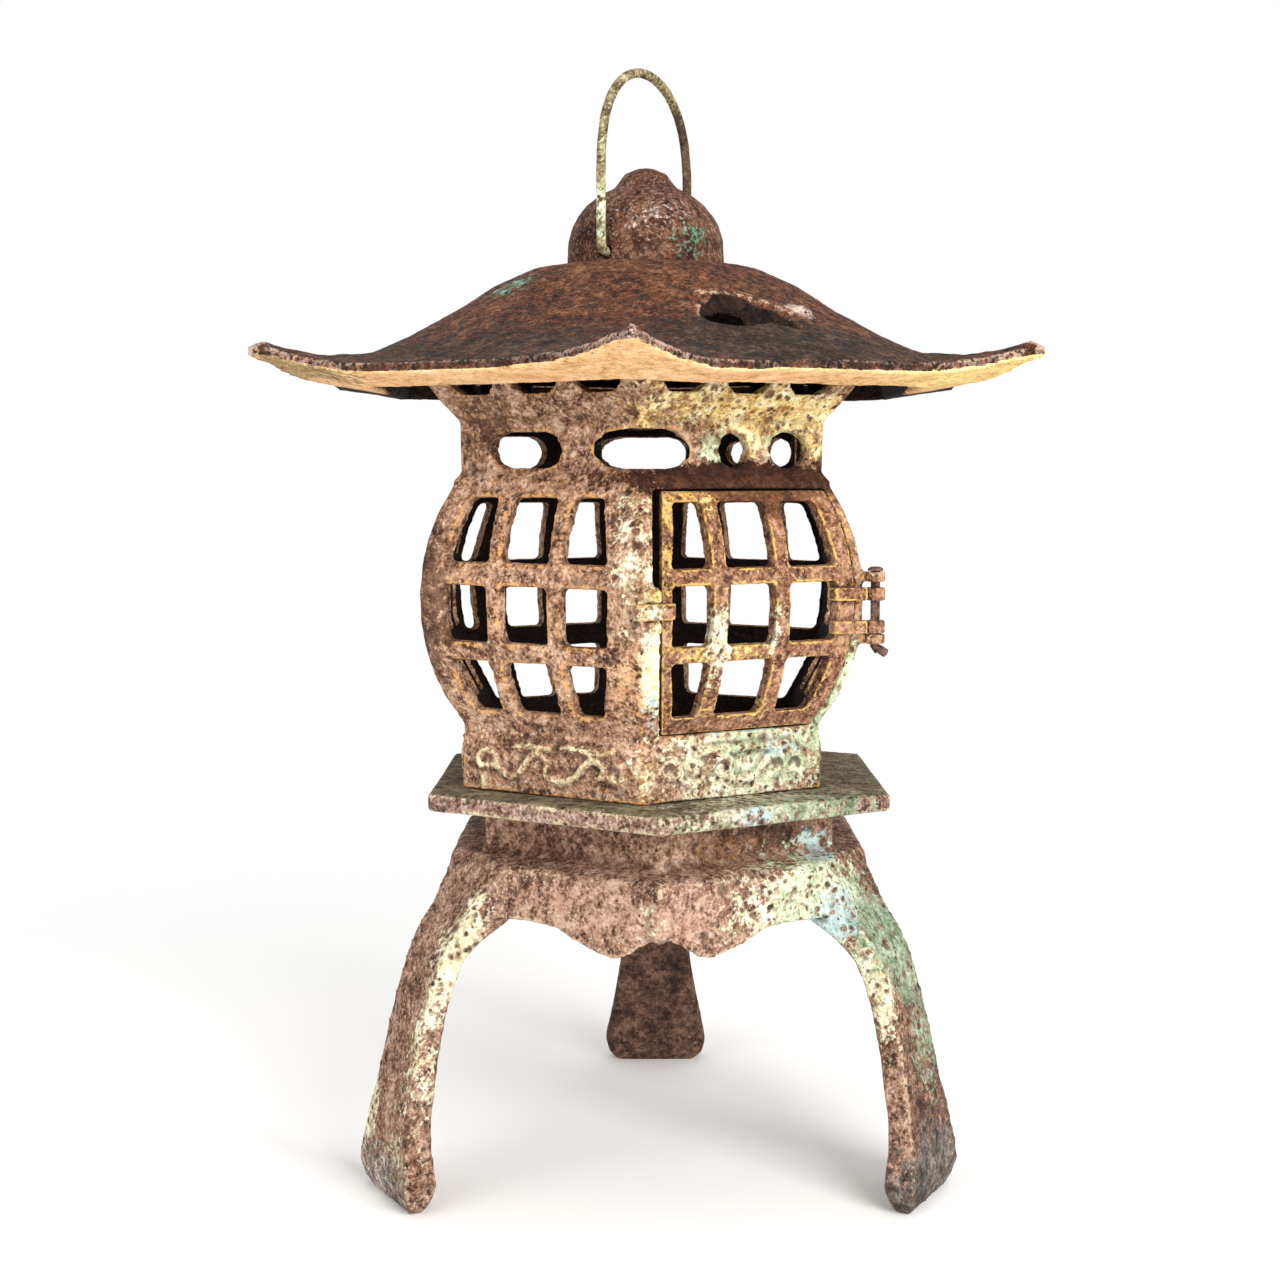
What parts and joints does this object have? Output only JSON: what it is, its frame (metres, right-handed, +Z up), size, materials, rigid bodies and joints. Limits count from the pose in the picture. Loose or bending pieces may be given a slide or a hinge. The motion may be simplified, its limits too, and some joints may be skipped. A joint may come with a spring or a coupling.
{
  "type": "pagoda lantern",
  "caption": "Cast-iron garden candle lantern with a three-legged stand, a bulged lattice cage with a hinged door, an upswept roof, a domed finial and a wire bail.",
  "frame": {"origin": "on the floor, under the middle of the roof and finial", "axes": "+Z up; -Y towards the front corner, with the door in the face between the front corner and +X"},
  "size_m": [0.2252, 0.26, 0.345],
  "materials": {
    "stand_iron": "rusted, with the remains of cream and pale green paint",
    "platform_iron": "rusted, with the remains of cream paint",
    "cage_iron": "rusted, with the remains of cream and pale green paint",
    "door_iron": "orange rust with ochre edges",
    "roof_iron": "dark brown rust, tan under the eaves",
    "dome_iron": "brown rust with pale specks",
    "bail_wire": "dull, weathered, with pale green paint",
    "fasteners": "dark, rusted"
  },
  "bodies": {
    "root": {"stand": "stand_iron", "platform": "platform_iron", "cage": "cage_iron", "hinge_pin": "fasteners", "candle_cup": "fasteners", "cup_screw": "fasteners", "cup_nut": "fasteners", "stand_bolt_1": "fasteners", "stand_bolt_2": "fasteners", "stand_bolt_3": "fasteners", "stand_nut_1": "fasteners", "stand_nut_2": "fasteners", "stand_nut_3": "fasteners", "roof_screw_1": "fasteners", "roof_screw_2": "fasteners", "roof_screw_3": "fasteners", "roof": "roof_iron", "finial": "dome_iron", "finial_bolt": "fasteners"},
    "door": {"door": "door_iron"},
    "bail": {"bail": "bail_wire"}
  },
  "joints": [
    {"name": "door_hinge", "type": "hinge", "parent": "root", "child": "door", "pos_m": [0.06842, -0.04025, 0.1782], "axis": [0, 0, 1], "range_deg": [0, 180]},
    {"name": "bail_hinge", "type": "hinge", "parent": "root", "child": "bail", "pos_m": [0, 0, 0.2864], "axis": [-0.5, -0.866, 0], "range_deg": [-94, 94]}
  ]
}
